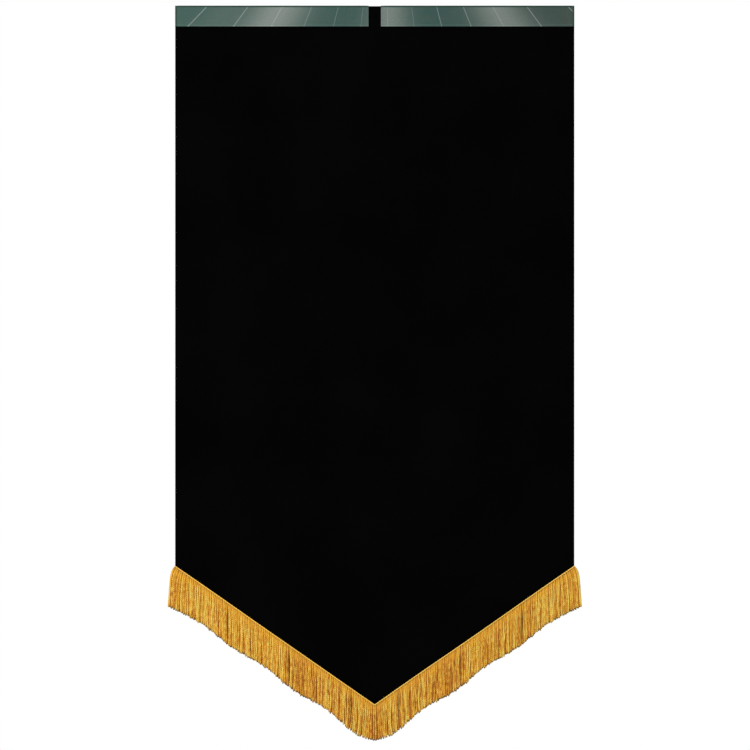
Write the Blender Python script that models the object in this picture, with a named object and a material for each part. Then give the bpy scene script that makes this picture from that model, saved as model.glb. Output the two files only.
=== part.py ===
"""A pointed church banner, in the shape in which it hangs from a pole.

A black panel ends in a V. Two green satin strips are folded over its top edge, one on each side
of a gap, and sewn down behind it as pole sleeves. A length of gold bullion fringe is sewn behind
each edge of the V, and the two meet in a mitre at the point.

The origin is the middle of the panel's top edge. +X is to the right of someone who faces the
front, -Y comes out of the front and +Z is up. All sizes are in metres.
"""

import math
import random

import bmesh
import bpy
from mathutils import Vector
from mathutils.geometry import interpolate_bezier

SEWN_GAP = 0.0003  # between a piece and the cloth that it is sewn to

# Panel
PANEL_WIDTH = 0.610
SIDE_DROP = 0.855  # from the top edge to the corners where the V starts
POINT_DROP = 1.067  # from the top edge to the point
PANEL_THICK = 0.0018
PANEL_COLUMNS = 24  # an even number, so that one column runs down to the point
PANEL_ROWS = 14

# Soft upright folds of the hanging panel: none near the sleeves, deepest at the V
FOLD_FREE_DROP = 0.12
FOLD_DEPTH = 0.004
FOLDS = (  # share of the depth, wavelength, phase in radians
    (0.6, 0.26, 0.7),
    (0.4, 0.17, -1.1),
)

# Pole sleeves
SLEEVE_GAP = 0.019
SLEEVE_DROP = 0.031  # from the panel's top edge to the sleeve's lower edges
SLEEVE_PLY = 0.001
SLEEVE_DEPTH = 0.0189  # how far the back ply stands off, room for a 16 mm pole
SLEEVE_SEAM = 0.004  # the flat margin of the back ply, sewn to the panel
SLEEVE_FOLD_RADIUS = 0.0011
FOLD_CORNER = 0.3  # the middle of the fold's rounded corner, as a share of its radius
BULGE_SHARE = 0.75  # a cubic curve bulges to this share of its handles' reach
UPPER_HANDLE = 0.94  # shares of that reach
LOWER_HANDLE = 1.06
LOWER_HANDLE_DROP = 0.8  # share of the drop to the seam
CREASE_DROP = 0.25  # share of the seam's margin in which the back ply turns down flat
SLEEVE_CURVE_POINTS = 11
SLEEVE_SECTIONS = 9
SLACK_SHARE = 0.04  # how much the back ply's depth varies along the sleeve
SLACK_WAVE = 0.19

# Fringe
STRANDS = 80  # on each side
HEADING_THICK = 0.001
HEADING_RISE = 0.009  # how far the heading reaches up behind the hem
BEAD_DROP = 0.0035  # the heading's rolled lower edge, which shows below the hem
BEAD_PROUD = 0.0003  # how far the bead stands in front of the panel's face
MITRE_GAP = 0.0003
STRAND_THICK = 0.0029
STRAND_SET_BACK = 0.0003  # the most by which a strand hangs in front of or behind its neighbours
STRAND_MEAN = 0.0628  # mean drop of a strand below the hem
STRAND_WAVE = 0.0034  # the drop rises and falls by this along the hem
STRAND_WAVELENGTH = 0.0953
STRAND_WAVE_START = 0.0268
POINT_SHORTER = 0.0047  # the strands at the very point are shorter by this
POINT_SHORTER_REACH = 0.0092
RAGGED = 0.0011
STRAND_RINGS = (  # share of the drop, share of the thickness
    (0.09, 1.0),
    (0.36, 1.0),
    (0.93, 1.0),
    (1.0, 0.5),
)

# Strands at the panel's corners swing outwards, and those near the point fan out a little
FLARE_QUICK = 0.0069
FLARE_RISE = 0.0107
FLARE_SLOW = 0.0061
FLARE_FADE = 0.019
FAN_ANGLE = math.radians(5)
FAN_START = 0.012
FAN_FADE = 0.06

HALF_WIDTH = PANEL_WIDTH / 2
HEM_SLOPE = (POINT_DROP - SIDE_DROP) / HALF_WIDTH


def clear_scene():
    for obj in list(bpy.data.objects):
        bpy.data.objects.remove(obj)


def cloth_material(name, colour, roughness, sheen):
    material = bpy.data.materials.new(name)
    material.use_nodes = True
    shader = material.node_tree.nodes["Principled BSDF"]
    shader.inputs["Base Color"].default_value = (*colour, 1.0)
    shader.inputs["Roughness"].default_value = roughness
    shader.inputs["Metallic"].default_value = 0.0
    shader.inputs["Sheen Weight"].default_value = sheen
    return material


def add_object(name, mesh_builder, material):
    bmesh.ops.recalc_face_normals(mesh_builder, faces=mesh_builder.faces)
    mesh = bpy.data.meshes.new(name)
    mesh_builder.to_mesh(mesh)
    mesh_builder.free()
    mesh.materials.append(material)
    obj = bpy.data.objects.new(name, mesh)
    bpy.context.collection.objects.link(obj)
    return obj


def sheet(outer, inner):
    """A closed sheet of cloth between two grids of points with the same rows and columns."""
    builder = bmesh.new()
    top = [[builder.verts.new(point) for point in row] for row in outer]
    under = [[builder.verts.new(point) for point in row] for row in inner]
    last_row, last_column = len(top) - 1, len(top[0]) - 1
    for i in range(last_row):
        for j in range(last_column):
            for grid in (top, under):
                builder.faces.new((grid[i][j], grid[i + 1][j], grid[i + 1][j + 1], grid[i][j + 1]))
    for i in (0, last_row):
        for j in range(last_column):
            builder.faces.new((top[i][j], top[i][j + 1], under[i][j + 1], under[i][j]))
    for j in (0, last_column):
        for i in range(last_row):
            builder.faces.new((top[i][j], top[i + 1][j], under[i + 1][j], under[i][j]))
    return builder


def hem_z(x):
    """Height of the V hem at x."""
    return abs(x) * HEM_SLOPE - POINT_DROP


def fold_y(x, z):
    """How far the panel's folds carry it back at a point of its face."""
    share = min(max((-z - FOLD_FREE_DROP) / (POINT_DROP - FOLD_FREE_DROP), 0.0), 1.0)
    grown = share * share * (3 - 2 * share)
    wave = sum(part * math.sin(math.tau * x / length + phase) for part, length, phase in FOLDS)
    return FOLD_DEPTH * grown * wave


def hem_y(x):
    """The panel's depth on its V hem, which is straight from each of its columns to the next."""
    step = PANEL_WIDTH / PANEL_COLUMNS
    column = min(int((x + HALF_WIDTH) / step), PANEL_COLUMNS - 1)
    left = column * step - HALF_WIDTH
    right = left + step
    share = (x - left) / step
    return (1 - share) * fold_y(left, hem_z(left)) + share * fold_y(right, hem_z(right))


def build_panel(material):
    front, back = [], []
    for column in range(PANEL_COLUMNS + 1):
        x = column * PANEL_WIDTH / PANEL_COLUMNS - HALF_WIDTH
        heights = [hem_z(x) * row / PANEL_ROWS for row in range(PANEL_ROWS + 1)]
        front.append([(x, fold_y(x, z) - PANEL_THICK / 2, z) for z in heights])
        back.append([(x, fold_y(x, z) + PANEL_THICK / 2, z) for z in heights])
    return add_object("panel", sheet(front, back), material)


def sleeve_path(slack):
    """Middle of the sleeve's ply as (y, z) points, up the face, over the top edge and down the back."""
    stand_off = PANEL_THICK / 2 + SEWN_GAP + SLEEVE_PLY / 2
    over = SEWN_GAP + SLEEVE_PLY / 2
    radius = SLEEVE_FOLD_RADIUS
    depth = SLEEVE_DEPTH * slack
    path = [Vector((-stand_off, -SLEEVE_DROP)), Vector((-stand_off, over - radius))]
    path.append(Vector((-stand_off + radius * FOLD_CORNER, over - radius * FOLD_CORNER)))
    reach = depth / BULGE_SHARE
    seam_top = SLEEVE_SEAM - SLEEVE_DROP
    curve = interpolate_bezier(
        Vector((radius - stand_off, over)),
        Vector((reach * UPPER_HANDLE, over)),
        Vector((reach * LOWER_HANDLE, seam_top * LOWER_HANDLE_DROP)),
        Vector((stand_off + SEWN_GAP, seam_top)),
        SLEEVE_CURVE_POINTS,
    )
    path.extend(curve)
    path.append(Vector((stand_off, seam_top - SLEEVE_SEAM * CREASE_DROP)))
    path.append(Vector((stand_off, -SLEEVE_DROP)))
    return path


def offset_path(path, distance):
    """The path moved sideways by a distance, positive to the left of its direction."""
    moved = []
    for index, point in enumerate(path):
        before = point - path[max(index - 1, 0)]
        after = path[min(index + 1, len(path) - 1)] - point
        sides = [Vector((-step.y, step.x)).normalized() for step in (before, after) if step.length > 0]
        first, second = sides[0], sides[-1]
        moved.append(point + (first + second) * distance / (1 + first.dot(second)))
    return moved


def build_sleeve(name, side, material):
    outer, inner = [], []
    length = HALF_WIDTH - SLEEVE_GAP / 2
    for section in range(SLEEVE_SECTIONS):
        x = side * (SLEEVE_GAP / 2 + length * section / (SLEEVE_SECTIONS - 1))
        path = sleeve_path(1 + SLACK_SHARE * math.sin(math.tau * x / SLACK_WAVE))
        outer.append([(x, point.x, point.y) for point in offset_path(path, SLEEVE_PLY / 2)])
        inner.append([(x, point.x, point.y) for point in offset_path(path, -SLEEVE_PLY / 2)])
    return add_object(name, sheet(outer, inner), material)


def strand_drop(from_point):
    """How far a strand hangs below the hem, from how far it is sewn from the point."""
    phase = math.tau * (from_point - STRAND_WAVE_START) / STRAND_WAVELENGTH
    shorter = POINT_SHORTER * math.exp(-((from_point / POINT_SHORTER_REACH) ** 2))
    return STRAND_MEAN + STRAND_WAVE * math.cos(phase) - shorter


def strand_swing(from_point, drop):
    """How far outwards a strand has swung at some drop below the hem."""
    from_corner = HALF_WIDTH - from_point
    flare = FLARE_QUICK * (1 - math.exp(-drop / FLARE_RISE)) + FLARE_SLOW * drop / STRAND_MEAN
    fan = math.tan(FAN_ANGLE) * drop * min(from_point / FAN_START, 1.0)
    return flare * math.exp(-from_corner / FLARE_FADE) + fan * math.exp(-from_point / FAN_FADE)


def heading_ring(builder, x):
    """Points of the heading's L-shaped section: the bead under the hem and the tape behind the panel."""
    hem_front = hem_y(x) - PANEL_THICK / 2
    tape_front = hem_y(x) + PANEL_THICK / 2 + SEWN_GAP
    bead_top = hem_z(x) - SEWN_GAP / math.cos(math.atan(HEM_SLOPE))
    bead_bottom = bead_top - BEAD_DROP
    tape_top = hem_z(x) + HEADING_RISE
    section = (
        (hem_front - BEAD_PROUD, bead_bottom),
        (hem_front - BEAD_PROUD, bead_top),
        (tape_front, bead_top),
        (tape_front, tape_top),
        (tape_front + HEADING_THICK, tape_top),
        (tape_front + HEADING_THICK, bead_bottom),
    )
    return [builder.verts.new((x, y, z)) for y, z in section]


def bridge(builder, first, second, closed=True):
    """Faces between two rings of points, all round or only along them."""
    for index in range(len(first) if closed else len(first) - 1):
        following = (index + 1) % len(first)
        builder.faces.new((first[index], first[following], second[following], second[index]))


def add_strand(builder, root, side, from_point, rng):
    """A four-sided strand, drawn down from the four points of its root on the heading."""
    middle = sum((vert.co for vert in root), Vector()) / len(root)
    hem = hem_z(side * from_point)
    drop = strand_drop(from_point) + rng.uniform(-RAGGED, RAGGED)
    set_back = rng.uniform(-STRAND_SET_BACK, STRAND_SET_BACK)
    ring = root
    for share, thickness in STRAND_RINGS:
        x = side * (from_point + strand_swing(from_point, drop * share))
        half = STRAND_THICK * thickness / 2
        below = [
            builder.verts.new(
                (
                    x + math.copysign(half, vert.co.x - middle.x),
                    middle.y + set_back + math.copysign(half, vert.co.y - middle.y),
                    hem - drop * share,
                )
            )
            for vert in root
        ]
        bridge(builder, ring, below)
        ring = below
    builder.faces.new(ring)


def build_fringe(name, side, seed, material):
    rng = random.Random(seed)
    builder = bmesh.new()
    pitch = (HALF_WIDTH - MITRE_GAP / 2) / STRANDS
    rings = [
        heading_ring(builder, side * (MITRE_GAP / 2 + pitch * index)) for index in range(STRANDS + 1)
    ]
    for index in range(STRANDS):
        near, far = rings[index], rings[index + 1]
        bridge(builder, near, far, closed=False)
        root = (near[0], far[0], far[-1], near[-1])
        add_strand(builder, root, side, MITRE_GAP / 2 + pitch * (index + 0.5), rng)
    for ring in (rings[0], rings[-1]):
        builder.faces.new(ring)
    return add_object(name, builder, material)


def main():
    clear_scene()
    black_cloth = cloth_material("black_cloth", (0.006, 0.006, 0.007), 0.9, 0.1)
    green_satin = cloth_material("green_satin", (0.09, 0.15, 0.13), 0.45, 0.2)
    gold_bullion = cloth_material("gold_bullion", (0.55, 0.29, 0.05), 0.5, 0.2)
    build_panel(black_cloth)
    build_sleeve("sleeve_left", -1, green_satin)
    build_sleeve("sleeve_right", 1, green_satin)
    build_fringe("fringe_left", -1, 11, gold_bullion)
    build_fringe("fringe_right", 1, 12, gold_bullion)


main()
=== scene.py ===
"""The looks of a pointed church banner: black cloth, green satin pole sleeves and gold bullion fringe.

Sizes are in metres. +X is to the right of someone who faces the front, -Y comes out of the front.
"""

import math
import random

import bmesh
import bpy
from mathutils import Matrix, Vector
from mathutils.geometry import interpolate_bezier


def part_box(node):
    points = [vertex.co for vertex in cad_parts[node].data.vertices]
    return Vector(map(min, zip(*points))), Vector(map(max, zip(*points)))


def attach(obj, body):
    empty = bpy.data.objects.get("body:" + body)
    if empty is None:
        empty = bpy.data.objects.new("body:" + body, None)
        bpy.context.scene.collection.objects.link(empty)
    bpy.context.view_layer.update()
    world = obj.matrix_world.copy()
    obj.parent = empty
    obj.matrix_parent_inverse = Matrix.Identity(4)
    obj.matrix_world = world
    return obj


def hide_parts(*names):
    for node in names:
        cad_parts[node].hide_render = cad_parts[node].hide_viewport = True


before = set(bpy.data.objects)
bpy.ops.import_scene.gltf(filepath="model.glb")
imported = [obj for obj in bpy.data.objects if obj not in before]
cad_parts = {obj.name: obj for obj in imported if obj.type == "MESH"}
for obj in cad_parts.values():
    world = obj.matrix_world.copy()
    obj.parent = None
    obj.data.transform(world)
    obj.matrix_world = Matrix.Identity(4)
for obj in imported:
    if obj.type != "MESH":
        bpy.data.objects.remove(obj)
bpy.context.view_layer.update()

# Sizes read from the frame
PANEL_LOW, PANEL_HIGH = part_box("panel")
HALF_WIDTH = PANEL_HIGH.x
POINT_DROP = -PANEL_LOW.z
EDGE_NEAR = 0.0001  # points this near to the side edge are on it
CORNER_Z = min(v.co.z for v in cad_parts["panel"].data.vertices if v.co.x > HALF_WIDTH - EDGE_NEAR)
HEM_SLOPE = (POINT_DROP + CORNER_Z) / HALF_WIDTH
HEM_ANGLE = math.atan(HEM_SLOPE)
SLEEVE_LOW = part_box("sleeve_right")[0]
SLEEVE_DROP = -SLEEVE_LOW.z
SLEEVE_START = SLEEVE_LOW.x
SIDES = {"left": -1, "right": 1}

# Degrees between faces
SHARP_ANGLE = 40  # sharper edges are shaded sharp
EDGE_ANGLE = 60  # sharper edges are rounded

# Panel cloth
PANEL_THICK = 0.0018  # at its hems, where the cloth is turned back on itself
PLY_THICK = 0.0009
HEM_WIDTH = 0.013
HEM_STEP = 0.0006
PANEL_COLUMNS = 72
PANEL_ROWS = 96
PANEL_EDGE_ROUND = 0.0007
PANEL_EDGE_ANGLE = 78  # so that the hems' turned edges stay as they are

# Soft upright folds of the hanging panel, as in the solids
FOLD_FREE_DROP = 0.12
FOLD_DEPTH = 0.004
FOLDS = ((0.6, 0.26, 0.7), (0.4, 0.17, -1.1))  # share of the depth, wavelength, phase

# Pole sleeves
SEWN_GAP = 0.0003
SLEEVE_PLY = 0.0006
SLEEVE_DEPTH = 0.0189
SLEEVE_SEAM = 0.004
SLEEVE_SLACK = (0.04, 0.19)  # share of the depth, wavelength
SLEEVE_FOLD_RADIUS = 0.0011
SLEEVE_FACE_ROWS = 14
SLEEVE_FACE_CROWDING = 1.4  # rows lie closer towards the lower edge, where the seam is
SLEEVE_BACK_ROWS = 26
SLEEVE_STEP = 0.0024
SLEEVE_EDGE_ROUND = 0.00035
BULGE_SHARE = 0.75  # a cubic curve bulges to this share of its handles' reach
UPPER_HANDLE = 0.94  # shares of that reach
LOWER_HANDLE = 1.06
LOWER_HANDLE_DROP = 0.8  # share of the drop to the seam
QUARTERS = (0.25, 0.5, 0.75)
SEAM_UP = 0.0028  # stitches above the sleeve's lower edges and in from its ends
SEAM_DENT = 0.00022
SEAM_REACH = 0.0011
SEAM_TOP = 0.001  # the end seams stop this far below the top edge
BACK_SEAM_LOWER = 0.001  # than the front one
PUCKER = 0.00012
PUCKER_REACH = 0.008
PUCKER_WAVES = (0.005, 0.012)  # shortest and longest
PUCKER_COUNT = 4
SLEEVE_SEEDS = {"left": 5, "right": 6}

# Fringe
STRAND_PITCH = 0.0027
STRAND_RADIUS = 0.00137
STRAND_SHIFT = 0.12  # the most that a strand is off its place, in pitches
STRAND_GIRTHS = (0.88, 1.08)
STRAND_TONE = (0.58, 0.22)  # mean, spread
STAGGER = 0.0003  # each second strand is this much in front, and the others behind
ROOT_BELOW = 0.0008  # the strands' roots are this far below the hem
STRAND_MEAN = 0.0627
STRAND_GROWTH = 0.0031  # how much longer the strands are at the corners than at the point
STRAND_WAVE = 0.0034
STRAND_WAVE_FADE = 0.4  # share of the wave that is gone at the corners
STRAND_WAVELENGTH = 0.0953
STRAND_WAVE_START = 0.0268
SCALLOP = 0.0012
SCALLOP_WIDTH = 0.0165
SCALLOP_MEAN = 0.64
SCALLOP_UNEVEN = (0.003, 0.041)  # how far the scallops shift, wavelength
POINT_SHORTER = 0.0039
POINT_SHORTER_REACH = 0.019
CORNER_SHORTER = 0.0032
CORNER_SHORTER_REACH = 0.012
OUTERMOST = 0.0001  # from the corner to the middle of the outermost strand
INNERMOST = 0.3  # from the point to the middle of the innermost strand, in pitches
FLARE_QUICK = 0.0068
FLARE_RISE = 0.0078
FLARE_SLOW = 0.0037
FLARE_FADE = 0.019
FLARE_GIRTH = 0.25  # how much thicker the strands are at the corners
FAN_ANGLE = math.radians(5)
FAN_START = 0.012
FAN_FADE = 0.06
PARTING = 0.0016  # strands bow apart by this where the fringe parts
PARTING_START = 0.0346
PARTING_REACH = 0.007
PARTING_ENDS = 0.4  # share of it that is left at the strands' ends
PARTING_CALM = 0.85  # share of the sway that is gone there
PARTING_CALM_REACH = 0.005
# that shade is painted into the strands' colour
PARTING_SHADE_REACH = 0.0032  # the strands behind it are in shade this far to each side
RAGGED = 0.0005
RAGGED_LONGER = 0.6  # strands are shorter by all of it at most, and longer by this share
# the rows behind have lower tone: painted shade from the rows in front
STRAND_ROWS = (  # depth, shift along the hem in pitches, how much shorter, tone, girth, share of the lean
    (0.0004, 0.0, 0.0, 0.0, 1.0, 1.0),
    (0.0016, -0.5, 0.0007, -0.17, 1.05, 0.5),
    (0.0029, -0.25, 0.0016, -0.34, 1.4, 0.12),
)
SWAYS = (  # wavelength along the hem, share: neighbouring strands lean together
    (0.0092, 0.3),
    (0.0143, 0.3),
    (0.0257, 0.22),
)
SWAY = {"slow": 0.0028, "bow": 0.0024, "bend": 0.0017}
STRAY = {"slow": 0.0003, "bow": 0.0003, "bend": 0.0002, "forward": 0.0006}
LOOSE_REACH = 0.02  # strands sway less near the corners and the point
# painted shade where the strands of both fringes are packed at the point
MITRE_SHADE = 0.6  # strands are darker where the two fringes meet
MITRE_REACH = 0.0045
WINDING_START = 0.01  # plies start up to this far along
FRINGE_SEED = 21
CORD_RADIUS = 0.00087
CORD_TURN = 0.008  # one turn of its two plies
CORD_STEP = 0.0006
CORD_SINK = 0.0001  # its middle lies this far behind the panel's face
CORD_PAST = 0.0008  # beyond the corner
CORD_POINTS = 90
TAPE_RISE = 0.009
TAPE_BELOW = 0.003
TAPE_THICK = 0.001
TAPE_MITRE_GAP = 0.0002
TAPE_COLUMNS = 76
TAPE_ROWS = 4
TAPE_EDGE_ROUND = 0.0003

# Stitches
HEM_STITCH = {"Pitch": 0.0034, "Length": 0.0027, "Thickness": 0.0005}
SLEEVE_STITCH = {"Pitch": 0.003, "Length": 0.0023, "Thickness": 0.00045}
HEM_SEAM_IN = 0.002  # from the hems' turned edge
SIDE_SEAM_DOWN = 0.002  # from the sleeves' lower edges

# Photograph's frame
PHOTO_PIXELS = 750
PIXEL = 0.0015285
PHOTO_MIDDLE = (0.0004, -0.5637)
CAMERA_DISTANCE = 5.0
FLOOR_BELOW = 0.4
FLOOR_RADIUS = 2.6
FILL_LIGHT = 0.55  # strength of the white surroundings as a light
SEEN_LIGHT = 1.0  # and as the camera sees them


def hem_z(x):
    return abs(x) * HEM_SLOPE - POINT_DROP


def fold_y(x, z):
    """How far the panel's soft folds carry it back."""
    share = min(max((-z - FOLD_FREE_DROP) / (POINT_DROP - FOLD_FREE_DROP), 0.0), 1.0)
    grown = share * share * (3 - 2 * share)
    wave = sum(part * math.sin(math.tau * x / length + phase) for part, length, phase in FOLDS)
    return FOLD_DEPTH * grown * wave


def finished_mesh(name, builder):
    mesh = bpy.data.meshes.new(name)
    builder.to_mesh(mesh)
    builder.free()
    return mesh


def add_object(name, data):
    made = bpy.data.objects.new(name, data)
    bpy.context.scene.collection.objects.link(made)
    return made


def sheet_mesh(name, outer, inner, coordinates=None):
    """A closed sheet between two grids of points. Coordinates are kept as its UV map, in metres."""
    builder = bmesh.new()
    reverse = builder.verts.layers.float.new("reverse")
    grids = [[[builder.verts.new(point) for point in row] for row in grid] for grid in (outer, inner)]
    top, under = grids
    for row in under:
        for vert in row:
            vert[reverse] = 1.0
    place = {}
    if coordinates:
        for grid in grids:
            for verts, row in zip(grid, coordinates):
                place.update(zip(verts, row))
    last_row, last_column = len(top) - 1, len(top[0]) - 1
    for i in range(last_row):
        for j in range(last_column):
            for grid in grids:
                builder.faces.new((grid[i][j], grid[i + 1][j], grid[i + 1][j + 1], grid[i][j + 1]))
    for i in (0, last_row):
        for j in range(last_column):
            builder.faces.new((top[i][j], top[i][j + 1], under[i][j + 1], under[i][j]))
    for j in (0, last_column):
        for i in range(last_row):
            builder.faces.new((top[i][j], top[i + 1][j], under[i + 1][j], under[i][j]))
    bmesh.ops.recalc_face_normals(builder, faces=builder.faces)
    if coordinates:
        layer = builder.loops.layers.uv.new("cloth")
        for face in builder.faces:
            for loop in face.loops:
                loop[layer].uv = place[loop.vert]
    return finished_mesh(name, builder)


def add_piece(name, mesh, material):
    mesh.materials.clear()
    mesh.materials.append(material)
    mesh.shade_smooth()
    mesh.set_sharp_from_angle(angle=math.radians(SHARP_ANGLE))
    return add_object(name, mesh)


def evaluated_mesh(carrier):
    """The mesh that an object's modifiers make, and the object is removed."""
    bpy.context.view_layer.update()
    graph = bpy.context.evaluated_depsgraph_get()
    mesh = bpy.data.meshes.new_from_object(carrier.evaluated_get(graph), depsgraph=graph)
    bpy.data.objects.remove(carrier)
    return mesh


def round_edges(mesh, width, segments, angle=EDGE_ANGLE):
    """The mesh with its sharp edges rounded."""
    carrier = add_object("edge_rounding", mesh)
    bevel = carrier.modifiers.new("round", "BEVEL")
    bevel.width = width
    bevel.segments = segments
    bevel.limit_method = "ANGLE"
    bevel.angle_limit = math.radians(angle)
    return evaluated_mesh(carrier)


class NodeTree:
    """A node tree with short calls that add nodes and fill or link their sockets."""

    def add(self, kind, inputs=(), **settings):
        node = self.tree.nodes.new(kind)
        for key, value in settings.items():
            setattr(node, key, value)
        for index, value in dict(inputs).items():
            self.put(value, node.inputs[index])
        return node

    def put(self, value, socket):
        if isinstance(value, bpy.types.Node):
            value = value.outputs[0]
        if isinstance(value, bpy.types.NodeSocket):
            self.tree.links.new(value, socket)
        else:
            socket.default_value = value


# Materials


class Shading(NodeTree):
    """A material's node tree, with short calls for the nodes that the finishes share."""

    def __init__(self, name):
        self.material = bpy.data.materials.new(name)
        self.material.use_nodes = True
        self.tree = self.material.node_tree
        self.shader = self.tree.nodes["Principled BSDF"]

    def attribute(self, label):
        return self.add("ShaderNodeAttribute", attribute_name=label).outputs["Fac"]

    def math(self, operation, first, second=0.0, third=0.0):
        node = self.add("ShaderNodeMath", operation=operation)
        for socket, value in zip(node.inputs, (first, second, third)):
            self.put(value, socket)
        return node.outputs[0]

    def mix(self, share, first, second, blend="MIX"):
        """A mix of two colours. The node's inputs 6 and 7 and its output 2 are its colour sockets."""
        node = self.add("ShaderNodeMix", data_type="RGBA", blend_type=blend)
        self.put(share, node.inputs[0])
        for socket, value in ((node.inputs[6], first), (node.inputs[7], second)):
            self.put((*value, 1.0) if isinstance(value, tuple) else value, socket)
        return node.outputs[2]

    def remap(self, value, low, high, to_low=0.0, to_high=1.0, smooth=False):
        node = self.add("ShaderNodeMapRange", clamp=True)
        node.interpolation_type = "SMOOTHSTEP" if smooth else "LINEAR"
        for socket, given in zip(node.inputs, (value, low, high, to_low, to_high)):
            self.put(given, socket)
        return node.outputs[0]

    def ramp(self, share, stops):
        """A colour ramp through (place, colour) stops, the first at 0 and the last at 1."""
        node = self.add("ShaderNodeValToRGB", {0: share})
        elements = node.color_ramp.elements
        elements[0].color, elements[1].color = (*stops[0][1], 1.0), (*stops[-1][1], 1.0)
        for place, colour in stops[1:-1]:
            elements.new(place).color = (*colour, 1.0)
        return node.outputs[0]

    def noise(self, vector, scale, detail, stretch=(1, 1, 1)):
        """Even grey noise, stretched by scaling the coordinates that it reads."""
        mapping = self.add("ShaderNodeMapping", {"Vector": vector, "Scale": stretch})
        inputs = {"Vector": mapping, "Scale": scale, "Detail": detail}
        return self.add("ShaderNodeTexNoise", inputs).outputs[0]

    def bump(self, height, distance, strength):
        inputs = {"Strength": strength, "Distance": distance, "Height": height}
        return self.add("ShaderNodeBump", inputs).outputs[0]

    def finish(self, colour, normal, **values):
        self.put(colour, self.shader.inputs["Base Color"])
        self.put(normal, self.shader.inputs["Normal"])
        for name, value in values.items():
            self.put(value, self.shader.inputs[name.replace("_", " ").title().replace("Ior", "IOR")])
        return self.material


def weave_height(shading, across, along, pitch):
    """Plain weave: threads over and under each other at the given pitch."""
    turns = [shading.math("MULTIPLY", axis, math.pi / pitch) for axis in (across, along)]
    waves = [shading.math("SINE", turn) for turn in turns]
    return shading.math("ABSOLUTE", shading.math("MULTIPLY", *waves))


def black_cloth():
    cloth = Shading("black_cloth")
    thread_pitch = 0.0007
    slub_share, nap_share = 0.8, 0.3  # of the weave's height
    deep, pale = (0.0006, 0.0006, 0.0007), (0.0011, 0.0011, 0.0012)
    place = cloth.add("ShaderNodeTexCoord").outputs["Object"]
    axes = cloth.add("ShaderNodeSeparateXYZ", {0: place})
    weave = weave_height(cloth, axes.outputs[0], axes.outputs[2], thread_pitch)
    slub = cloth.noise(place, 60, 4, stretch=(1, 1, 9))
    nap = cloth.noise(place, 700, 2)
    relief = cloth.math("MULTIPLY_ADD", slub, slub_share, weave)
    relief = cloth.math("MULTIPLY_ADD", nap, nap_share, relief)
    soft = cloth.noise(place, 7, 3)
    colour = cloth.mix(cloth.remap(soft, 0.35, 0.65), deep, pale)
    return cloth.finish(
        colour,
        cloth.bump(relief, 0.0001, 0.6),
        roughness=0.95,
        specular_ior_level=0.012,
        sheen_weight=0.012,
        sheen_roughness=0.35,
        sheen_tint=(0.6, 0.6, 0.65, 1.0),
    )


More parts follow.
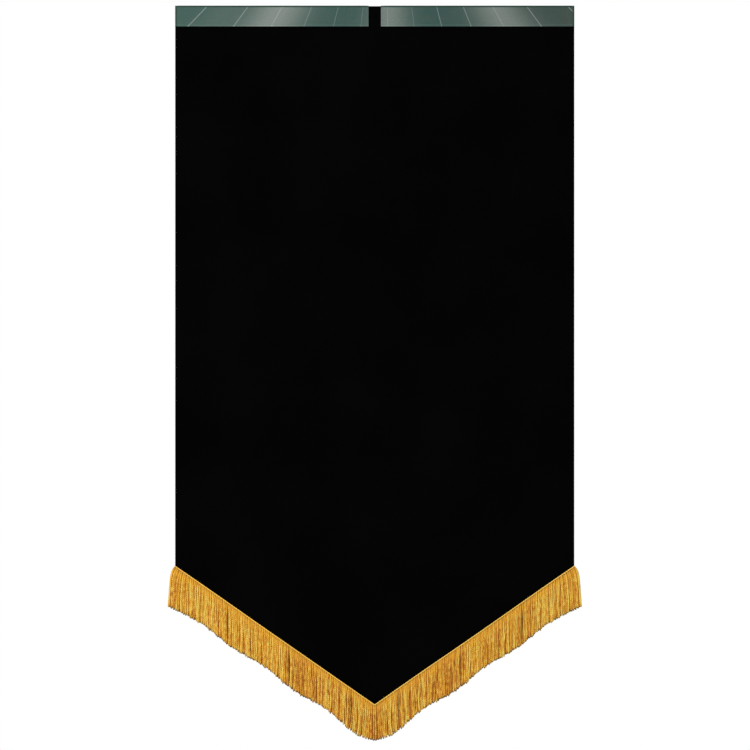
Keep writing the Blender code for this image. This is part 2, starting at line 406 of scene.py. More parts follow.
def green_satin():
    """Grey-green satin with soft highlights painted into its colour, and a fan of thin pale lines that
    spreads from above it.
    """
    satin = Shading("green_satin")
    painted_sheens = (  # slope from the fan's middle, reach, strength
        (-0.85, 0.100, 0.14),
        (-0.565, 0.134, 1.0),
        (0.003, 0.096, 0.76),
        (0.575, 0.121, 0.82),
    )
    grounds = (  # share of the banner's width, colour
        (0.0, (0.031, 0.081, 0.068)),
        (0.65, (0.0235, 0.063, 0.0555)),
        (1.0, (0.036, 0.055, 0.047)),
    )
    cloud_tint, mottle_tint = (0.048, 0.090, 0.076), (0.062, 0.076, 0.050)
    # sheen_tint is the colour of the painted highlights
    sheen_tint, line_tint = (0.178, 0.206, 0.188), (0.50, 0.55, 0.55)
    # colour of the painted shade along the top fold and the sleeves' ends
    rim_shade_tint = (0.008, 0.036, 0.022)
    fan_middle, fan_height = 0.0195, 0.318  # where its lines would meet
    fan_step, fan_reach = math.radians(7.3), math.radians(44)
    line_core, line_half_width = 0.0002, 0.00082
    line_middle, line_side = 0.06, 0.28  # strengths of the lines
    line_chance = 0.12  # how much stronger one may be by chance
    # the reverse keeps this share of the painted highlights
    reverse_painted_sheen = 0.3  # share of the sheens on the reverse
    rim_core, rim_reach, rim_shade_strength, end_rim_share = 0.0015, 0.0031, 0.95, 0.75
    # painted highlight: the raised margin below the seam is painted paler
    margin_highlight, margin_blend = 1.16, (0.0006, 0.0002)  # the margin below the seam is paler
    rib_pitch, rib_share = 0.0005, 0.3
    fold_up = SLEEVE_DROP + SEWN_GAP + SLEEVE_PLY / 2

    place = satin.add("ShaderNodeUVMap", uv_map="cloth").outputs[0]
    axes = satin.add("ShaderNodeSeparateXYZ", {0: place})
    across, up = axes.outputs[0], axes.outputs[1]
    reverse = satin.attribute("reverse")
    face = satin.math("SUBTRACT", 1.0, reverse)
    right = satin.math("SUBTRACT", across, fan_middle)
    below = satin.math("SUBTRACT", fan_height, up)
    slope = satin.math("DIVIDE", right, below)

    cloud = satin.noise(place, 11, 3)
    # painted highlights: soft bright bands by angle from the fan's middle, mixed into the base colour
    painted_sheen = 0.0
    for middle, reach, strength in painted_sheens:
        off = satin.math("DIVIDE", satin.math("SUBTRACT", slope, middle), reach)
        peak = satin.math("EXPONENT", satin.math("MULTIPLY", satin.math("POWER", off, 2.0), -1.0))
        painted_sheen = satin.math("MULTIPLY_ADD", peak, strength, painted_sheen)
    painted_sheen = satin.math("MULTIPLY", painted_sheen, satin.remap(cloud, 0.2, 0.8, 0.88, 1.08))
    facing = satin.math("MULTIPLY_ADD", face, 1 - reverse_painted_sheen, reverse_painted_sheen)
    painted_sheen = satin.math("MULTIPLY", painted_sheen, facing)

    angle = satin.math("ARCTANGENT", slope)
    count = satin.math("DIVIDE", angle, fan_step)
    nearest = satin.math("ROUND", count)
    squares = [satin.math("POWER", side, 2.0) for side in (right, below)]
    radius = satin.math("SQRT", satin.math("ADD", *squares))
    off_line = satin.math("ABSOLUTE", satin.math("SUBTRACT", count, nearest))
    off_line = satin.math("MULTIPLY", satin.math("MULTIPLY", off_line, fan_step), radius)
    line = satin.remap(off_line, line_core, line_half_width, 1.0, 0.0, smooth=True)
    chance = satin.add("ShaderNodeTexWhiteNoise", noise_dimensions="1D")
    satin.put(nearest, chance.inputs["W"])
    outward = satin.remap(satin.math("ABSOLUTE", angle), 0.0, fan_reach, line_middle, line_side)
    line = satin.math("MULTIPLY", line, satin.math("MULTIPLY_ADD", chance.outputs[0], line_chance, outward))
    line = satin.math("MULTIPLY", line, face)

    ground = satin.ramp(satin.remap(across, -HALF_WIDTH, HALF_WIDTH), grounds)
    ground = satin.mix(satin.remap(cloud, 0.3, 0.7, 0.0, 0.25), ground, cloud_tint)
    mottle = satin.noise(place, 120, 3)
    ground = satin.mix(satin.remap(mottle, 0.4, 0.7, 0.0, 0.3), ground, mottle_tint)
    # the painted highlights mixed into the colour
    colour = satin.mix(painted_sheen, ground, sheen_tint)
    colour = satin.mix(line, colour, line_tint)

    # painted shade: the colour darkens towards the top fold and the sleeves' ends
    near_fold = satin.math("ABSOLUTE", satin.math("SUBTRACT", up, fold_up))
    near_end = satin.math("ABSOLUTE", satin.math("SUBTRACT", satin.math("ABSOLUTE", across), HALF_WIDTH))
    near_shaded_rim = satin.math("MINIMUM", near_fold, satin.math("MULTIPLY", near_end, end_rim_share))
    turned = satin.remap(near_shaded_rim, rim_core, rim_reach, rim_shade_strength, 0.0, smooth=True)
    colour = satin.mix(turned, colour, rim_shade_tint)

    speckle = satin.remap(satin.noise(place, 420, 2), 0.3, 0.7, 0.92, 1.08)
    # sewn carries the painted highlight of the margin; speckle is random tone
    margin_from, margin_to = (SEAM_UP - blend for blend in margin_blend)
    sewn = satin.remap(up, margin_from, margin_to, margin_highlight, 1.0)
    shade = satin.math("MULTIPLY", speckle, sewn)
    grey = satin.add("ShaderNodeCombineColor", {0: shade, 1: shade, 2: shade})
    colour = satin.mix(1.0, colour, grey, "MULTIPLY")

    ribs = satin.math("SINE", satin.math("MULTIPLY", up, math.tau / rib_pitch))
    threads = satin.noise(place, 260, 2, stretch=(1, 12, 1))
    relief = satin.math("MULTIPLY_ADD", ribs, rib_share, threads)
    return satin.finish(
        colour,
        satin.bump(relief, 0.00008, 0.5),
        roughness=satin.remap(reverse, 0.0, 1.0, 0.48, 0.8),
        specular_ior_level=0.2,
        sheen_weight=0.05,
        sheen_roughness=0.4,
    )


def gold_ramp(shading, place, share, contrast=1.0):
    """Rayon gold from deep orange-brown to pale yellow, with streaks of four widths."""
    streaks = (  # scale, how much they are drawn out along Z, weight
        (620, 0.18, 0.5),
        (580, 0.27, 0.9),
        (190, 0.12, 0.1),
        (22, 0.5, 0.04),
    )
    golds = (
        (0.0, (0.46, 0.138, 0.01)),
        (0.35, (0.70, 0.290, 0.020)),
        (0.65, (0.825, 0.437, 0.034)),
        (1.0, (0.86, 0.63, 0.12)),
    )
    middle = 0.55  # the share that the contrast leaves as it is
    for scale, stretch, weight in streaks:
        grain = shading.noise(place, scale, 2, stretch=(1, 1, stretch))
        streak = shading.remap(grain, 0.3, 0.7, -0.5, 0.5)
        share = shading.math("MULTIPLY_ADD", streak, weight, share)
    share = shading.math("MULTIPLY_ADD", shading.math("SUBTRACT", share, middle), contrast, middle)
    return shading.ramp(share, golds)


GOLD_FINISH = {
    "roughness": 0.38,
    "specular_ior_level": 0.45,
    "specular_tint": (1.0, 0.82, 0.48, 1.0),
    "sheen_weight": 0.1,
    "sheen_roughness": 0.4,
    "sheen_tint": (1.0, 0.85, 0.5, 1.0),
}


def bullion_yarn():
    """Twisted rayon strands: each has its own tone, its two plies wind round it, and painted shade darkens
    the ply grooves, roots, ends and the strands behind partings.
    """
    yarn = Shading("bullion_yarn")
    ply_pitch = 0.0058
    root_shade_tint, parting_shade_tint = (0.50, 0.22, 0.028), (0.10, 0.016, 0.003)
    groove_shade_tint, tip_shade_tint = (0.22, 0.085, 0.01), (0.10, 0.05, 0.008)

    place = yarn.add("ShaderNodeTexCoord").outputs["Object"]
    wound = yarn.add("ShaderNodeAttribute", attribute_name="winding").outputs["Vector"]
    tone, along, shade = (yarn.attribute(label) for label in ("tone", "along", "shade"))
    axes = yarn.add("ShaderNodeSeparateXYZ", {0: wound})
    angle = yarn.math("ARCTAN2", axes.outputs[1], axes.outputs[0])
    turn = yarn.math("MULTIPLY", axes.outputs[2], math.tau / ply_pitch)
    ply = yarn.math("ABSOLUTE", yarn.math("COSINE", yarn.math("SUBTRACT", angle, turn)))
    fibres = yarn.noise(place, 1300, 2, stretch=(1, 1, 0.35))

    depth = yarn.remap(along, 0.08, 0.32, 0.35, 1.0, smooth=True)
    colour = gold_ramp(yarn, place, tone, depth)
    # painted shade just below the cord, at the strands' roots
    colour = yarn.mix(yarn.remap(along, 0.025, 0.1, 0.45, 0.0), colour, root_shade_tint)
    # painted shade on the front half of the strands behind a parting
    facing = yarn.remap(axes.outputs[1], -0.4, 0.2, 1.0, 0.0, smooth=True)
    colour = yarn.mix(yarn.math("MULTIPLY", shade, facing), colour, parting_shade_tint)
    # painted shade in the grooves between the plies
    groove_shade = yarn.math("MULTIPLY", yarn.remap(ply, 0.0, 0.5, 0.58, 0.0), depth)
    colour = yarn.mix(groove_shade, colour, groove_shade_tint)
    # painted shade under the strands' rounded ends, deeper on strands of low tone
    tip_shade_strength = yarn.remap(tone, 0.55, 0.65, 0.92, 0.35)
    tip_shade = yarn.math("MULTIPLY", yarn.remap(along, 0.945, 0.975), tip_shade_strength)
    colour = yarn.mix(tip_shade, colour, tip_shade_tint)
    relief = yarn.math("MULTIPLY_ADD", fibres, 0.25, ply)
    return yarn.finish(colour, yarn.bump(relief, 0.0007, 0.9), **GOLD_FINISH)


def gold_cord():
    cord = Shading("gold_cord")
    bright, bright_share = (0.93, 0.51, 0.07), 0.6
    tone, contrast = 1.15, 0.7
    place = cord.add("ShaderNodeTexCoord").outputs["Object"]
    fibres = cord.noise(place, 1300, 2)
    colour = cord.mix(bright_share, gold_ramp(cord, place, tone, contrast), bright)
    return cord.finish(colour, cord.bump(fibres, 0.0001, 0.6), **GOLD_FINISH)


def woven_tape():
    """Gold woven tape of the fringe's heading."""
    tape = Shading("woven_tape")
    thread_pitch = 0.0013
    deep, bright, pale = (0.30, 0.125, 0.016), (0.66, 0.36, 0.055), (0.72, 0.46, 0.10)
    place = tape.add("ShaderNodeUVMap", uv_map="cloth").outputs[0]
    axes = tape.add("ShaderNodeSeparateXYZ", {0: place})
    weave = weave_height(tape, axes.outputs[0], axes.outputs[1], thread_pitch)
    mottle = tape.noise(place, 240, 3)
    colour = tape.mix(weave, deep, bright)
    colour = tape.mix(tape.remap(mottle, 0.35, 0.7, 0.0, 0.5), colour, pale)
    relief = tape.math("MULTIPLY_ADD", mottle, 0.2, weave)
    return tape.finish(colour, tape.bump(relief, 0.0004, 0.8), roughness=0.5, specular_ior_level=0.35)


def sewing_thread(name, colour, shade, shine):
    thread = Shading(name)
    place = thread.add("ShaderNodeTexCoord").outputs["Object"]
    twist = thread.noise(place, 3000, 1, stretch=(1, 1, 0.5))
    tint = thread.mix(twist, colour, shade)
    return thread.finish(tint, thread.bump(twist, 0.00005, 0.5), roughness=0.6, specular_ior_level=shine)


# Geometry Nodes


class Growing(NodeTree):
    """A Geometry Nodes tree with named inputs, and short calls for its nodes."""

    def __init__(self, name, sockets):
        self.tree = bpy.data.node_groups.new(name, "GeometryNodeTree")
        interface = self.tree.interface
        interface.new_socket("Geometry", in_out="INPUT", socket_type="NodeSocketGeometry")
        interface.new_socket("Geometry", in_out="OUTPUT", socket_type="NodeSocketGeometry")
        for label, kind in sockets.items():
            interface.new_socket(label, in_out="INPUT", socket_type=f"NodeSocket{kind}")
        self.given = self.tree.nodes.new("NodeGroupInput").outputs
        self.result = self.tree.nodes.new("NodeGroupOutput").inputs[0]

    def math(self, operation, first, second=0.0):
        return self.add("ShaderNodeMath", {0: first, 1: second}, operation=operation).outputs[0]

    def named(self, label, kind="FLOAT"):
        return self.add("GeometryNodeInputNamedAttribute", {"Name": label}, data_type=kind).outputs[0]

    def end(self, geometry, material):
        """Ends the tree with real geometry, smooth and in its material."""
        real = self.add("GeometryNodeRealizeInstances", {0: geometry})
        smooth = self.add("GeometryNodeSetShadeSmooth", {0: real})
        dressed = self.add("GeometryNodeSetMaterial", {0: smooth, "Material": material})
        self.put(dressed, self.result)
        return self.tree


def grow(name, carrier_mesh, tree, values):
    """Runs a tree on a mesh and keeps what it makes as one plain piece."""
    carrier = add_object(name + "_carrier", carrier_mesh)
    modifier = carrier.modifiers.new("grow", "NODES")
    modifier.node_group = tree
    for item in tree.interface.items_tree:
        if item.item_type == "SOCKET" and item.in_out == "INPUT" and item.name in values:
            modifier[item.identifier] = values[item.name]
    mesh = evaluated_mesh(carrier)
    mesh.name = name
    return add_object(name, mesh)


def points_mesh(name, points, attributes):
    """A mesh of loose points with a value of each attribute at each point."""
    mesh = bpy.data.meshes.new(name)
    mesh.from_pydata(points, [], [])
    for label, values in attributes.items():
        layer = mesh.attributes.new(label, "FLOAT", "POINT")
        layer.data.foreach_set("value", values)
    return mesh


def path_mesh(name, runs):
    """A mesh of open chains of edges, one for each run of points."""
    points, edges = [], []
    for run in runs:
        start = len(points)
        points.extend(run)
        edges.extend((start + i, start + i + 1) for i in range(len(run) - 1))
    mesh = bpy.data.meshes.new(name)
    mesh.from_pydata(points, edges, [])
    return mesh


def strand_tree():
    """Hangs a strand from each point, then swings and bows it by the point's own values."""
    tree = Growing(
        "bullion_strands",
        {"Strand": "Object", "Radius": "Float", "Flare rise": "Float", "Material": "Material"},
    )
    given = tree.given
    strand = tree.add("GeometryNodeObjectInfo", {0: given["Strand"]}).outputs["Geometry"]
    girth = tree.math("MULTIPLY", tree.named("girth"), given["Radius"])
    size = tree.add("ShaderNodeCombineXYZ", {0: girth, 1: girth, 2: tree.named("drop")})
    hung = tree.add(
        "GeometryNodeInstanceOnPoints",
        {0: given["Geometry"], "Instance": strand, "Scale": size},
    )
    real = tree.add("GeometryNodeRealizeInstances", {0: hung})
    along = tree.named("along")
    fallen = tree.math("MULTIPLY", along, tree.named("drop"))
    decay = tree.math("DIVIDE", tree.math("MULTIPLY", fallen, -1.0), given["Flare rise"])
    settled = tree.math("SUBTRACT", 1.0, tree.math("EXPONENT", decay))
    half_wave = tree.math("SINE", tree.math("MULTIPLY", along, math.pi))
    full_wave = tree.math("SINE", tree.math("MULTIPLY", along, math.tau))
    shapes = {"quick": settled, "slow": along, "bow": half_wave, "bend": full_wave}
    quick, slow, bow, bend = (tree.math("MULTIPLY", tree.named(label), by) for label, by in shapes.items())
    sideways = tree.math("ADD", tree.math("ADD", quick, slow), tree.math("ADD", bow, bend))
    forward = tree.math("MULTIPLY", tree.named("forward"), tree.math("POWER", along, 1.5))
    shift = tree.add("ShaderNodeCombineXYZ", {0: sideways, 1: forward, 2: 0.0})
    moved = tree.add("GeometryNodeSetPosition", {0: real, "Offset": shift})
    round_about = tree.add("ShaderNodeSeparateXYZ", {0: tree.named("winding", "FLOAT_VECTOR")})
    wound = tree.math("ADD", fallen, tree.named("start"))
    winding = tree.add(
        "ShaderNodeCombineXYZ",
        {0: round_about.outputs[0], 1: round_about.outputs[1], 2: wound},
    )
    kept = tree.add(
        "GeometryNodeStoreNamedAttribute",
        {0: moved, "Name": "winding", "Value": winding},
        data_type="FLOAT_VECTOR",
        domain="POINT",
    )
    return tree.end(kept, given["Material"])


def close_tube(builder, loops):
    """Faces between a stack of loops of points, and over both its ends."""
    for upper, lower in zip(loops, loops[1:]):
        for side in range(len(upper)):
            following = (side + 1) % len(upper)
            builder.faces.new((upper[side], lower[side], lower[following], upper[following]))
    builder.faces.new(loops[0])
    builder.faces.new(loops[-1])
    bmesh.ops.recalc_face_normals(builder, faces=builder.faces)


def unit_strand():
    """A strand 1 long and 1 in radius: narrow at its root, full below, with a rounded looped end."""
    rings = (  # share of the length, share of the radius
        (0.0, 0.7),
        (0.045, 1.0),
        (0.13, 1.1),
        (0.25, 1.05),
        (0.38, 0.98),
        (0.52, 1.03),
        (0.66, 0.98),
        (0.8, 1.03),
        (0.978, 1.0),
        (0.992, 0.8),
        (1.0, 0.4),
    )
    sides = 5
    builder = bmesh.new()
    winding = builder.verts.layers.float_vector.new("winding")
    depth = builder.verts.layers.float.new("along")
    loops = []
    for along, radius in rings:
        loop = []
        for side in range(sides):
            angle = math.tau * side / sides
            vert = builder.verts.new((radius * math.cos(angle), radius * math.sin(angle), -along))
            vert[winding] = Vector((math.cos(angle), math.sin(angle), along))
            vert[depth] = along
            loop.append(vert)
        loops.append(loop)
    close_tube(builder, loops)
    return add_object("unit_strand", finished_mesh("unit_strand", builder))


def cord_tree():
    """A two-ply twisted cord along each chain of edges."""
    tree = Growing(
        "twisted_cord",
        {"Radius": "Float", "Turn": "Float", "Step": "Float", "Material": "Material"},
    )
    given = tree.given
    sides, flatness = 10, 0.72
    curve = tree.add("GeometryNodeMeshToCurve", {0: given["Geometry"]})
    even = tree.add("GeometryNodeResampleCurve", {0: curve, "Length": given["Step"]}, mode="LENGTH")
    run = tree.add("GeometryNodeSplineParameter").outputs["Length"]
    turn = tree.math("MULTIPLY", tree.math("DIVIDE", run, given["Turn"]), math.tau)
    twisted = tree.add("GeometryNodeSetCurveTilt", {0: even, "Tilt": turn})
    circle = tree.add("GeometryNodeCurvePrimitiveCircle", {"Resolution": sides, "Radius": given["Radius"]})
    lobes = tree.add("GeometryNodeTransform", {0: circle, "Scale": (1.0, flatness, 1.0)})
    cord = tree.add("GeometryNodeCurveToMesh", {0: twisted, 1: lobes, "Fill Caps": True})
    return tree.end(cord, given["Material"])


def stitch_tree():
    """Stitches laid end to end along each chain of edges."""
    sizes = {"Pitch": "Float", "Length": "Float", "Thickness": "Float"}
    tree = Growing("stitches", {"Stitch": "Object", **sizes, "Material": "Material"})
    given = tree.given
    curve = tree.add("GeometryNodeMeshToCurve", {0: given["Geometry"]})
    points = tree.add("GeometryNodeCurveToPoints", {0: curve, "Length": given["Pitch"]}, mode="LENGTH")
    stitch = tree.add("GeometryNodeObjectInfo", {0: given["Stitch"]}).outputs["Geometry"]
    thick = given["Thickness"]
    size = tree.add("ShaderNodeCombineXYZ", {0: thick, 1: thick, 2: given["Length"]})
    sewn = tree.add(
        "GeometryNodeInstanceOnPoints",
        {0: points, "Instance": stitch, "Rotation": points.outputs["Rotation"], "Scale": size},
    )
    return tree.end(sewn, given["Material"])


def unit_stitch():
    """A stitch 1 long along Z and 1 thick, round and drawn down at its ends."""
    rings = (  # place, share of the thickness
        (-0.5, 0.35),
        (-0.36, 0.85),
        (0.0, 1.0),
        (0.36, 0.85),
        (0.5, 0.35),
    )
    sides = 6
    builder = bmesh.new()
    loops = []
    for place, thick in rings:
        angles = [math.tau * side / sides for side in range(sides)]
        points = [(thick / 2 * math.cos(angle), thick / 2 * math.sin(angle), place) for angle in angles]
        loops.append([builder.verts.new(point) for point in points])
    close_tube(builder, loops)
    return add_object("unit_stitch", finished_mesh("unit_stitch", builder))


# Panel


def panel_columns():
    """Places across the panel, with a close pair where the side hems' turned edges step down."""
    inner = HALF_WIDTH - HEM_WIDTH
    even = [2 * inner * i / PANEL_COLUMNS - inner for i in range(PANEL_COLUMNS + 1)]
    step = [inner + HEM_STEP, inner + HEM_WIDTH / 2, HALF_WIDTH]
    return [-x for x in reversed(step)] + even + step


def panel_rows(x):
    """Heights down the panel at x, with a close pair where the V hem's turned edge steps down."""
    hem_height = HEM_WIDTH / math.cos(HEM_ANGLE)
    edge = hem_z(x)
    last = edge + hem_height
    even = [last * i / PANEL_ROWS for i in range(PANEL_ROWS + 1)]
    return even + [last - HEM_STEP, edge + hem_height / 2, edge]


def build_panel(material):
    columns = panel_columns()
    front, back = [], []
    for x in columns:
        heights = panel_rows(x)
        front.append([(x, fold_y(x, z) - PANEL_THICK / 2, z) for z in heights])
        row = []
        for index, z in enumerate(heights):
            in_hem = abs(x) > HALF_WIDTH - HEM_WIDTH + HEM_STEP / 2 or index > PANEL_ROWS
            depth = PANEL_THICK / 2 if in_hem else PLY_THICK - PANEL_THICK / 2
            row.append((x, fold_y(x, z) + depth, z))
        back.append(row)
    mesh = round_edges(sheet_mesh("banner_panel", front, back), PANEL_EDGE_ROUND, 3, PANEL_EDGE_ANGLE)
    return add_piece("banner_panel", mesh, material)


def hem_run(inset, lift, step=0.004):
    """Points along the V hem from corner to corner, some way inside its edge, on a face of the panel."""
    height = inset / math.cos(HEM_ANGLE)
    reach = HALF_WIDTH - inset
    count = int(2 * reach / step)
    run = []
    for index in range(count + 1):
        x = 2 * reach * index / count - reach
        z = hem_z(x) + height
        run.append((x, fold_y(x, z) + lift, z))
    return run


def side_run(side, inset, lift, top, step=0.02):
    """Points down one side hem, on a face of the panel."""
    x = side * (HALF_WIDTH - inset)
    bottom = hem_z(x) + HEM_WIDTH / math.cos(HEM_ANGLE)
    count = int((top - bottom) / step)
    heights = [top + (bottom - top) * index / count for index in range(count + 1)]
    return [(x, fold_y(x, z) + lift, z) for z in heights]


# Sleeves


def sleeve_path(slack):
    """Middle of the sleeve's ply as (y, z) points, up the face, over the top edge and down the back."""
    stand_off = PANEL_THICK / 2 + SEWN_GAP + SLEEVE_PLY / 2
    over = SEWN_GAP + SLEEVE_PLY / 2
    radius = SLEEVE_FOLD_RADIUS
    rise = SLEEVE_DROP + over - radius
    path = []
    for row in range(SLEEVE_FACE_ROWS + 1):
        share = (row / SLEEVE_FACE_ROWS) ** SLEEVE_FACE_CROWDING
        path.append(Vector((-stand_off, -SLEEVE_DROP + rise * share)))
    middle = Vector((radius - stand_off, over - radius))
    for turn in QUARTERS:
        angle = math.pi * (1 - turn / 2)
        path.append(middle + radius * Vector((math.cos(angle), math.sin(angle))))
    reach = SLEEVE_DEPTH * slack / BULGE_SHARE
    seam_top = SLEEVE_SEAM - SLEEVE_DROP
    path.extend(
        interpolate_bezier(
            Vector((radius - stand_off, over)),
            Vector((reach * UPPER_HANDLE, over)),
            Vector((reach * LOWER_HANDLE, seam_top * LOWER_HANDLE_DROP)),
            Vector((stand_off + SEWN_GAP, seam_top)),
            SLEEVE_BACK_ROWS,
        )
    )
    for share in (*QUARTERS, 1.0):
        path.append(Vector((stand_off, seam_top - SLEEVE_SEAM * share)))
    return path


def offset_path(path, distances):
    moved = []
    for index, point in enumerate(path):
        before = point - path[max(index - 1, 0)]
        after = path[min(index + 1, len(path) - 1)] - point
        sides = [Vector((-step.y, step.x)).normalized() for step in (before, after) if step.length > 0]
        first, second = sides[0], sides[-1]
        moved.append(point + (first + second) * distances[index] / (1 + first.dot(second)))
    return moved


def path_runs(path):
    """Distance along a path to each of its points."""
    runs = [0.0]
    for before, after in zip(path, path[1:]):
        runs.append(runs[-1] + (after - before).length)
    return runs


def bell(distance, reach):
    """1 at no distance, and near 0 from twice the reach."""
    return math.exp(-((distance / reach) ** 2))


def build_sleeve(name, side, material, seed):
    """A satin pole sleeve: flat and sewn on the face, and bulging behind where the pole goes."""
    rng = random.Random(seed)
    ripples = [(rng.uniform(*PUCKER_WAVES), rng.uniform(0, math.tau)) for _ in range(PUCKER_COUNT)]
    length = HALF_WIDTH - SLEEVE_START
    count = int(length / SLEEVE_STEP)
    slack_share, slack_wave = SLEEVE_SLACK
    outer, inner, cloth = [], [], []
    for section in range(count + 1):
        x = side * (SLEEVE_START + length * section / count)
        path = sleeve_path(1 + slack_share * math.sin(math.tau * x / slack_wave))
        runs = path_runs(path)
        pucker = sum(math.sin(math.tau * x / wave + phase) for wave, phase in ripples) / len(ripples)
        from_end = min(abs(x) - SLEEVE_START, HALF_WIDTH - abs(x))
        lifts = []
        for run in runs:
            from_edge = min(run, runs[-1] - run)
            sewn = bell(from_edge - SEAM_UP, SEAM_REACH) + bell(from_end - SEAM_UP, SEAM_REACH)
            dent = SEAM_DENT * min(sewn, 1.0)
            lifts.append(SLEEVE_PLY / 2 - dent + PUCKER * pucker * bell(from_edge, PUCKER_REACH))
        outer.append([(x, point.x, point.y) for point in offset_path(path, lifts)])
        inner.append([(x, point.x, point.y) for point in offset_path(path, [-SLEEVE_PLY / 2] * len(path))])
        cloth.append([(x, run) for run in runs])
    mesh = round_edges(sheet_mesh(name, outer, inner, cloth), SLEEVE_EDGE_ROUND, 2)
    return add_piece(name, mesh, material)


def sleeve_flat():
    """(length, width) of the strip that a sleeve is folded from."""
    return HALF_WIDTH - SLEEVE_START, path_runs(sleeve_path(1.0))[-1]


def sleeve_seams(side):
    """Runs of stitches round a sleeve's front: along its lower edge and up both its ends."""
    lift = -(PANEL_THICK / 2 + SEWN_GAP + SLEEVE_PLY - SEAM_DENT)
    near, far = SLEEVE_START + SEAM_UP, HALF_WIDTH - SEAM_UP
    low, high = SEAM_UP - SLEEVE_DROP, -SEAM_TOP
    front = [[(side * near, lift, low), (side * far, lift, low)]]
    front += [[(side * x, lift, low), (side * x, lift, high)] for x in (near, far)]
    back_low = low - BACK_SEAM_LOWER
    return front + [[(side * near, -lift, back_low), (side * far, -lift, back_low)]]


# Fringe


def strand_drop(from_point):
    """How far a strand hangs below the hem, at its distance across from the point."""
    share = from_point / HALF_WIDTH
    phase = math.tau * (from_point - STRAND_WAVE_START) / STRAND_WAVELENGTH
    wave = STRAND_WAVE * (1 - STRAND_WAVE_FADE * share) * math.cos(phase)
    shift, shift_wave = SCALLOP_UNEVEN
    uneven = from_point + shift * math.sin(math.tau * from_point / shift_wave)
    scallop = SCALLOP * (abs(math.sin(math.pi * uneven / SCALLOP_WIDTH)) - SCALLOP_MEAN)
    shorter = POINT_SHORTER * bell(from_point, POINT_SHORTER_REACH)
    shorter += CORNER_SHORTER * math.exp((from_point - HALF_WIDTH) / CORNER_SHORTER_REACH)
    return STRAND_MEAN + STRAND_GROWTH * (share - 0.5) + wave + scallop - shorter


def strand_swing(from_point, spread):
    """(quick, slow) outward swing of a strand: how far it goes at once, and how far by its end."""
    fade = math.exp(-(HALF_WIDTH - from_point) / FLARE_FADE)
    fan = math.tan(FAN_ANGLE) * STRAND_MEAN * min(from_point / FAN_START, 1.0)
    return FLARE_QUICK * fade, FLARE_SLOW * fade + fan * math.exp(-from_point / FAN_FADE) * spread


def from_parting(from_point):
    """Signed distance along the hem from the nearest place where the fringe parts."""
    half = STRAND_WAVELENGTH / 2
    return (from_point - PARTING_START + half) % STRAND_WAVELENGTH - half


def clump_lean(from_point, phases):
    """How far neighbouring strands lean together, from -1 to 1."""
    waves = zip(SWAYS, phases)
    return sum(share * math.sin(math.tau * from_point / wave + phase) for (wave, share), phase in waves)


def fringe_points(side, seed):
    """Where the strands are sewn, row behind row, with each strand's own values."""
    rng = random.Random(seed)
    points, strands = [], []
    count = int(HALF_WIDTH / STRAND_PITCH)
    pitch = (HALF_WIDTH - OUTERMOST) / (count - 0.5)
    for depth, shift, shorter, tone, girth, spread in STRAND_ROWS:
        phases = {label: [rng.uniform(0, math.tau) for _ in SWAYS] for label in SWAY}
        for index in range(count):
            off_place = rng.uniform(-STRAND_SHIFT, STRAND_SHIFT) * spread
            from_point = pitch * (index + 0.5 + shift + off_place)
            from_point = min(max(from_point, pitch * INNERMOST), HALF_WIDTH - OUTERMOST)
            x = side * from_point
            quick, slow = strand_swing(from_point, spread)
            off = from_parting(from_point)
            parted = PARTING * math.copysign(math.exp(-abs(off) / PARTING_REACH), off) * spread
            loose = min((HALF_WIDTH - from_point) / LOOSE_REACH, from_point / LOOSE_REACH, 1.0) * spread
            loose *= 1 - PARTING_CALM * bell(off, PARTING_CALM_REACH)
            lean = {}
            for label, most in SWAY.items():
                stray = rng.gauss(0, STRAY[label])
                lean[label] = (most * clump_lean(from_point, phases[label]) + stray) * loose
            stagger = STAGGER if index % 2 else -STAGGER
            ragged = rng.uniform(-RAGGED, RAGGED * RAGGED_LONGER)
            uneven_girth = rng.uniform(*STRAND_GIRTHS) * (1 + FLARE_GIRTH * quick / FLARE_QUICK)
            # painted shade at the point, taken off the strand's tone
            mitre_shade = MITRE_SHADE * bell(from_point, MITRE_REACH)
            strand = {
                "drop": strand_drop(from_point) - ROOT_BELOW - shorter + ragged,
                "girth": girth * uneven_girth,
                "quick": side * quick,
                "slow": side * (slow + parted * PARTING_ENDS + lean["slow"]),
                "bow": side * (parted + lean["bow"]),
                "bend": side * lean["bend"],
                "forward": rng.gauss(0, STRAY["forward"]),
                "start": rng.uniform(0, WINDING_START),
                "tone": min(rng.gauss(*STRAND_TONE), 1.0) + tone - mitre_shade,
                # painted shade of the rows behind a parting
                "shade": (1 - spread) * bell(off, PARTING_SHADE_REACH),
            }
            strands.append(strand)
            points.append((x, fold_y(x, hem_z(x)) + depth + stagger, hem_z(x) - ROOT_BELOW))
    return points, {label: [strand[label] for strand in strands] for label in strands[0]}


def build_strands(name, side, seed, tree, strand, material):
    points, values = fringe_points(side, seed)
    mesh = points_mesh(name + "_roots", points, values)
    inputs = {"Strand": strand, "Radius": STRAND_RADIUS, "Flare rise": FLARE_RISE, "Material": material}
    return grow(name, mesh, tree, inputs)


def build_cord(name, side, tree, material):
    """The twisted cord that edges the heading, just below the panel's hem."""
    below = CORD_RADIUS / math.cos(HEM_ANGLE)
    run = []
    for index in range(CORD_POINTS + 1):
        x = side * (HALF_WIDTH + CORD_PAST) * index / CORD_POINTS
        run.append((x, fold_y(x, hem_z(x)) - PANEL_THICK / 2 + CORD_SINK, hem_z(x) - below))
    inputs = {"Radius": CORD_RADIUS, "Turn": CORD_TURN, "Step": CORD_STEP, "Material": material}
    return grow(name, path_mesh(name + "_path", [run]), tree, inputs)


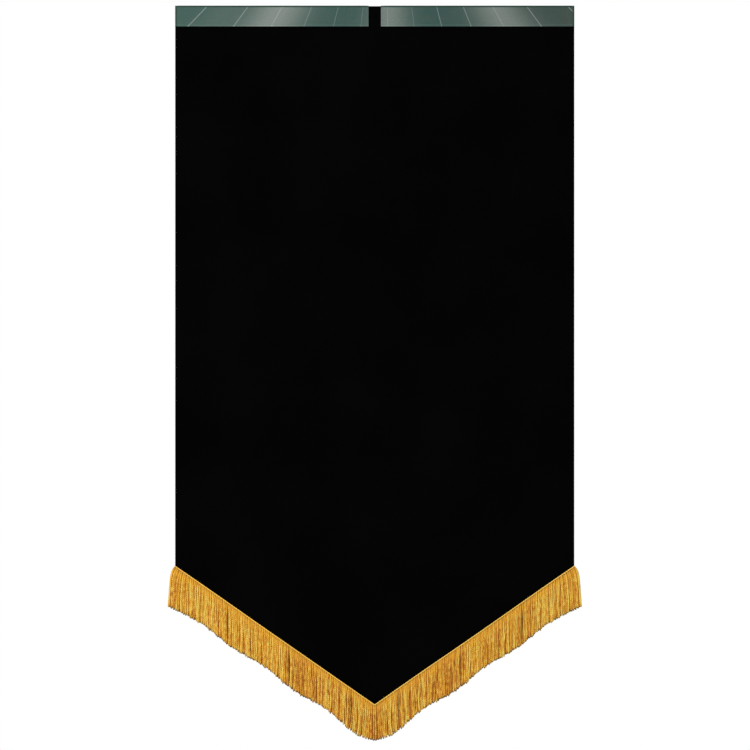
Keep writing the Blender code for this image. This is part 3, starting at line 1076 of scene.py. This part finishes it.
def build_tape(name, side, material):
    """The woven heading, sewn behind the V hem, with its lower edge hidden by the strands' roots."""
    outer, inner, cloth = [], [], []
    front_y = PANEL_THICK / 2 + SEWN_GAP
    heights = [TAPE_RISE - (TAPE_RISE + TAPE_BELOW) * row / TAPE_ROWS for row in range(TAPE_ROWS + 1)]
    for column in range(TAPE_COLUMNS + 1):
        from_point = TAPE_MITRE_GAP + (HALF_WIDTH - TAPE_MITRE_GAP) * column / TAPE_COLUMNS
        x = side * from_point
        y, z = fold_y(x, hem_z(x)) + front_y, hem_z(x)
        outer.append([(x, y + TAPE_THICK, z + up) for up in heights])
        inner.append([(x, y, z + up) for up in heights])
        cloth.append([(from_point / math.cos(HEM_ANGLE), up) for up in heights])
    mesh = round_edges(sheet_mesh(name, outer, inner, cloth), TAPE_EDGE_ROUND, 2)
    return add_piece(name, mesh, material)


# Stage


def build_stage():
    """A plain pale floor, soft studio light, and the camera square to the banner's face."""
    floor_z = PANEL_LOW.z - STRAND_MEAN - FLOOR_BELOW
    builder = bmesh.new()
    bmesh.ops.create_circle(builder, cap_ends=True, segments=96, radius=FLOOR_RADIUS)
    bmesh.ops.translate(builder, verts=builder.verts, vec=(0, 0, floor_z))
    mesh = finished_mesh("floor", builder)
    paint = Shading("pale_floor")
    place = paint.add("ShaderNodeTexCoord").outputs["Object"]
    grain = paint.noise(place, 30, 3)
    tint = paint.mix(grain, (0.86, 0.86, 0.855), (0.9, 0.9, 0.895))
    floor = add_piece("floor", mesh, paint.finish(tint, paint.bump(grain, 0.0004, 0.3), roughness=0.8))

    world = bpy.data.worlds.new("studio")
    world.use_nodes = True
    bpy.context.scene.world = world
    nodes, links = world.node_tree.nodes, world.node_tree.links
    background = nodes["Background"]
    fill = nodes.new("ShaderNodeBackground")
    seen = nodes.new("ShaderNodeLightPath").outputs["Is Camera Ray"]
    mixed = nodes.new("ShaderNodeMixShader")
    for node, strength in ((fill, FILL_LIGHT), (background, SEEN_LIGHT)):
        node.inputs["Color"].default_value = (1.0, 1.0, 1.0, 1.0)
        node.inputs["Strength"].default_value = strength
    links.new(seen, mixed.inputs[0])
    links.new(fill.outputs[0], mixed.inputs[1])
    links.new(background.outputs[0], mixed.inputs[2])
    links.new(mixed.outputs[0], nodes["World Output"].inputs["Surface"])

    target = Vector((0, 0, PHOTO_MIDDLE[1]))
    lights = (  # name, place, size, watts
        ("key", (-2.0, -2.4, 0.7), 0.9, 72),
        ("side", (2.2, -2.4, -0.3), 1.4, 14),
        ("back", (0.6, 2.4, 0.6), 1.8, 30),
    )
    for name, place, size, watts in lights:
        data = bpy.data.lights.new(name, "AREA")
        data.shape = "DISK"
        data.size = size
        data.energy = watts
        light = add_object(name, data)
        light.location = place
        light.rotation_euler = (target - Vector(place)).to_track_quat("-Z", "Y").to_euler()

    view_width = PHOTO_PIXELS * PIXEL
    data = bpy.data.cameras.new("camera")
    data.lens = data.sensor_width * CAMERA_DISTANCE / view_width
    camera = add_object("camera", data)
    camera.location = (PHOTO_MIDDLE[0], -CAMERA_DISTANCE, PHOTO_MIDDLE[1])
    camera.rotation_euler = (math.pi / 2, 0, 0)
    bpy.context.scene.camera = camera
    bpy.context.scene.view_settings.view_transform = "Standard"


def main():
    build_stage()
    cloth, satin = black_cloth(), green_satin()
    yarn, edging, tape_finish = bullion_yarn(), gold_cord(), woven_tape()
    black_thread = sewing_thread("black_thread", (0.0006, 0.0006, 0.0007), (0.001, 0.001, 0.0011), 0.02)
    green_thread = sewing_thread("green_thread", (0.10, 0.17, 0.14), (0.05, 0.10, 0.08), 0.2)

    panel = build_panel(cloth)
    sleeves = {}
    for word, side in SIDES.items():
        sleeves[word] = build_sleeve("pole_sleeve_" + word, side, satin, SLEEVE_SEEDS[word])
    strand, strands, cords = unit_strand(), strand_tree(), cord_tree()
    fringe, tapes, trims = {}, {}, []
    for word, side in SIDES.items():
        fringe[word] = build_strands("bullion_" + word, side, FRINGE_SEED, strands, strand, yarn)
        tapes[word] = build_tape("heading_tape_" + word, side, tape_finish)
        trims.append(build_cord("edging_cord_" + word, side, cords, edging))
    bpy.data.objects.remove(strand)

    stitch, sewing = unit_stitch(), stitch_tree()
    front, back = -PANEL_THICK / 2, PANEL_THICK / 2
    seam, top = HEM_WIDTH - HEM_SEAM_IN, -SLEEVE_DROP - SIDE_SEAM_DOWN
    hems = [hem_run(seam, lift) for lift in (front, back)]
    hems += [side_run(side, seam, lift, top) for side in SIDES.values() for lift in (front, back)]
    inputs = {"Stitch": stitch, "Material": black_thread, **HEM_STITCH}
    hem_stitches = grow("hem_stitches", path_mesh("hem_seams", hems), sewing, inputs)
    inputs = {"Stitch": stitch, "Material": green_thread, **SLEEVE_STITCH}
    sleeve_stitches = {
        word: grow("sleeve_stitches_" + word, path_mesh("sleeve_seams", sleeve_seams(side)), sewing, inputs)
        for word, side in SIDES.items()
    }
    bpy.data.objects.remove(stitch)

    pieces = {
        "panel_cloth": [panel, hem_stitches],
        "sleeve_satin": [*sleeves.values(), *sleeve_stitches.values()],
        "fringe_yarn": [*fringe.values(), *tapes.values(), *trims],
    }
    for slot, members in pieces.items():
        for piece in members:
            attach(piece, "root")
    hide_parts("panel")
    for word in SIDES:
        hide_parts("sleeve_" + word)
        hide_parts("fringe_" + word)

    for word, sleeve in sleeves.items():
        sleeve_flat()


main()
